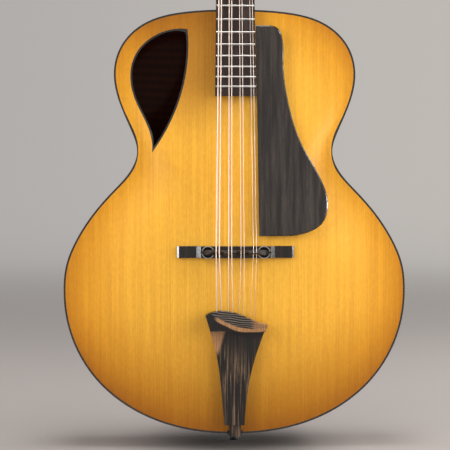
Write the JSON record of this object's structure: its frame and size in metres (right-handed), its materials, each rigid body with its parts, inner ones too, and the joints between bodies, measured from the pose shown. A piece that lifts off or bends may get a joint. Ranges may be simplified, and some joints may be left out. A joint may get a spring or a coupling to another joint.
{
  "type": "octave mandolin",
  "caption": "Guitar-bodied archtop octave mandolin with paired strings, teardrop sound port, floating pickguard, adjustable bridge, carved wooden tailpiece and geared tuners.",
  "frame": {"origin": "middle of the back of the neck just behind the nut, where a hanger's two arms hold it", "axes": "+Z along the instrument towards the headstock, -Y out of the carved top towards the player's side that is seen, +X towards the treble side; the instrument hangs upright"},
  "size_m": [0.406, 0.1392, 0.953],
  "materials": {
    "spruce_top": "gloss lacquer over a sunburst stain",
    "maple": "gloss lacquer, flamed figure",
    "neck_maple": "satin lacquer",
    "inner_wood": "bare",
    "binding": "gloss",
    "ebony": "oiled, satin",
    "tail_ebony": "oiled, satin, with pale sapwood streaks",
    "fret_metal": "polished",
    "bone": "polished bone",
    "steel": "plain",
    "brass": "satin",
    "nickel": "polished nickel",
    "wheel_metal": "dark plated, knurled",
    "wound_string": "phosphor bronze winding",
    "plain_string": "bright plain wire",
    "button_nickel": "satin nickel"
  },
  "bodies": {
    "instrument": {"back_binding": "binding", "back_linings": "inner_wood", "back_plate": "maple", "ball_ends": "brass", "bridge_base": "ebony", "bridge_studs": "brass", "end_pin": "ebony", "fretboard": "ebony", "frets": "fret_metal", "headstock_veneer": "ebony", "heel_cap": "ebony", "neck": "neck_maple", "neck_block": "inner_wood", "nut": "bone", "pickguard": "ebony", "pickguard_support": "ebony", "rib_bass": "maple", "rib_treble": "maple", "side_dots": "bone", "sound_hole_edging": "binding", "strings_a": "wound_string", "strings_d": "wound_string", "strings_e": "plain_string", "strings_g": "wound_string", "tail_block": "inner_wood", "tail_saddle": "ebony", "tail_strap": "brass", "tailpiece": "tail_ebony", "tailpiece_screws": "nickel", "tone_bars": "inner_wood", "top_binding": "binding", "top_linings": "inner_wood", "top_plate": "spruce_top", "truss_cover_screws": "nickel", "truss_rod": "steel", "truss_rod_cover": "ebony", "tuner_bushings": "nickel", "tuner_plate_bass": "nickel", "tuner_plate_screws": "nickel", "tuner_plate_treble": "nickel"},
    "saddle": {"bridge_saddle": "ebony"},
    "thumbwheel_bass_body": {"thumbwheel_bass": "wheel_metal"},
    "thumbwheel_treble_body": {"thumbwheel_treble": "wheel_metal"},
    "truss_nut": {"truss_rod_nut": "brass"},
    "tuner_button_bass_1_body": {"tuner_button_bass_1": "button_nickel"},
    "tuner_button_bass_2_body": {"tuner_button_bass_2": "button_nickel"},
    "tuner_button_bass_3_body": {"tuner_button_bass_3": "button_nickel"},
    "tuner_button_bass_4_body": {"tuner_button_bass_4": "button_nickel"},
    "tuner_button_treble_1_body": {"tuner_button_treble_1": "button_nickel"},
    "tuner_button_treble_2_body": {"tuner_button_treble_2": "button_nickel"},
    "tuner_button_treble_3_body": {"tuner_button_treble_3": "button_nickel"},
    "tuner_button_treble_4_body": {"tuner_button_treble_4": "button_nickel"},
    "tuner_post_bass_1_body": {"tuner_post_bass_1": "nickel"},
    "tuner_post_bass_2_body": {"tuner_post_bass_2": "nickel"},
    "tuner_post_bass_3_body": {"tuner_post_bass_3": "nickel"},
    "tuner_post_bass_4_body": {"tuner_post_bass_4": "nickel"},
    "tuner_post_treble_1_body": {"tuner_post_treble_1": "nickel"},
    "tuner_post_treble_2_body": {"tuner_post_treble_2": "nickel"},
    "tuner_post_treble_3_body": {"tuner_post_treble_3": "nickel"},
    "tuner_post_treble_4_body": {"tuner_post_treble_4": "nickel"}
  },
  "joints": [
    {"name": "saddle_height", "type": "slide", "parent": "instrument", "child": "saddle", "axis": [0, -1, 0], "range_m": [-0.001, 0.002], "deforming": ["strings_g", "strings_d", "strings_a", "strings_e"]},
    {"name": "thumbwheel_bass_turn", "type": "hinge", "parent": "saddle", "child": "thumbwheel_bass_body", "pos_m": [-0.0328, -0.05479, -0.57342], "axis": [0, -1, 0], "range_deg": [-516, 1031]},
    {"name": "thumbwheel_treble_turn", "type": "hinge", "parent": "saddle", "child": "thumbwheel_treble_body", "pos_m": [0.0328, -0.05479, -0.57342], "axis": [0, -1, 0], "range_deg": [-516, 1031]},
    {"name": "truss_nut_turn", "type": "hinge", "parent": "instrument", "child": "truss_nut", "pos_m": [0, -0.00662, 0.01347], "axis": [0, 0.0663, 0.9978], "range_deg": [-180, 180]},
    {"name": "button_bass_1_turn", "type": "hinge", "parent": "instrument", "child": "tuner_button_bass_1_body", "pos_m": [-0.025, 0.02072, 0.04812], "axis": [1, 0, 0], "continuous": true},
    {"name": "post_bass_1_turn", "type": "hinge", "parent": "instrument", "child": "tuner_post_bass_1_body", "pos_m": [-0.025, -0.00148, 0.04736], "axis": [0, -0.9521, 0.3057], "continuous": true},
    {"name": "button_bass_2_turn", "type": "hinge", "parent": "instrument", "child": "tuner_button_bass_2_body", "pos_m": [-0.025, 0.02775, 0.07002], "axis": [1, 0, 0], "continuous": true},
    {"name": "post_bass_2_turn", "type": "hinge", "parent": "instrument", "child": "tuner_post_bass_2_body", "pos_m": [-0.025, 0.00555, 0.06926], "axis": [0, -0.9521, 0.3057], "continuous": true},
    {"name": "button_bass_3_turn", "type": "hinge", "parent": "instrument", "child": "tuner_button_bass_3_body", "pos_m": [-0.025, 0.03478, 0.09192], "axis": [1, 0, 0], "continuous": true},
    {"name": "post_bass_3_turn", "type": "hinge", "parent": "instrument", "child": "tuner_post_bass_3_body", "pos_m": [-0.025, 0.01258, 0.09116], "axis": [0, -0.9521, 0.3057], "continuous": true},
    {"name": "button_bass_4_turn", "type": "hinge", "parent": "instrument", "child": "tuner_button_bass_4_body", "pos_m": [-0.025, 0.04181, 0.11382], "axis": [1, 0, 0], "continuous": true},
    {"name": "post_bass_4_turn", "type": "hinge", "parent": "instrument", "child": "tuner_post_bass_4_body", "pos_m": [-0.025, 0.01962, 0.11306], "axis": [0, -0.9521, 0.3057], "continuous": true},
    {"name": "button_treble_1_turn", "type": "hinge", "parent": "instrument", "child": "tuner_button_treble_1_body", "pos_m": [0.025, 0.02072, 0.04812], "axis": [1, 0, 0], "continuous": true},
    {"name": "post_treble_1_turn", "type": "hinge", "parent": "instrument", "child": "tuner_post_treble_1_body", "pos_m": [0.025, -0.00148, 0.04736], "axis": [0, -0.9521, 0.3057], "continuous": true},
    {"name": "button_treble_2_turn", "type": "hinge", "parent": "instrument", "child": "tuner_button_treble_2_body", "pos_m": [0.025, 0.02775, 0.07002], "axis": [1, 0, 0], "continuous": true},
    {"name": "post_treble_2_turn", "type": "hinge", "parent": "instrument", "child": "tuner_post_treble_2_body", "pos_m": [0.025, 0.00555, 0.06926], "axis": [0, -0.9521, 0.3057], "continuous": true},
    {"name": "button_treble_3_turn", "type": "hinge", "parent": "instrument", "child": "tuner_button_treble_3_body", "pos_m": [0.025, 0.03478, 0.09192], "axis": [1, 0, 0], "continuous": true},
    {"name": "post_treble_3_turn", "type": "hinge", "parent": "instrument", "child": "tuner_post_treble_3_body", "pos_m": [0.025, 0.01258, 0.09116], "axis": [0, -0.9521, 0.3057], "continuous": true},
    {"name": "button_treble_4_turn", "type": "hinge", "parent": "instrument", "child": "tuner_button_treble_4_body", "pos_m": [0.025, 0.04181, 0.11382], "axis": [1, 0, 0], "continuous": true},
    {"name": "post_treble_4_turn", "type": "hinge", "parent": "instrument", "child": "tuner_post_treble_4_body", "pos_m": [0.025, 0.01962, 0.11306], "axis": [0, -0.9521, 0.3057], "continuous": true}
  ],
  "couplings": [
    {"joint": "thumbwheel_bass_turn", "follows": "saddle_height", "rad_per_m": 8976},
    {"joint": "thumbwheel_treble_turn", "follows": "saddle_height", "rad_per_m": 8976},
    {"joint": "post_bass_1_turn", "follows": "button_bass_1_turn", "ratio": 0.071429},
    {"joint": "post_bass_2_turn", "follows": "button_bass_2_turn", "ratio": 0.071429},
    {"joint": "post_bass_3_turn", "follows": "button_bass_3_turn", "ratio": 0.071429},
    {"joint": "post_bass_4_turn", "follows": "button_bass_4_turn", "ratio": 0.071429},
    {"joint": "post_treble_1_turn", "follows": "button_treble_1_turn", "ratio": 0.071429},
    {"joint": "post_treble_2_turn", "follows": "button_treble_2_turn", "ratio": 0.071429},
    {"joint": "post_treble_3_turn", "follows": "button_treble_3_turn", "ratio": 0.071429},
    {"joint": "post_treble_4_turn", "follows": "button_treble_4_turn", "ratio": 0.071429}
  ]
}
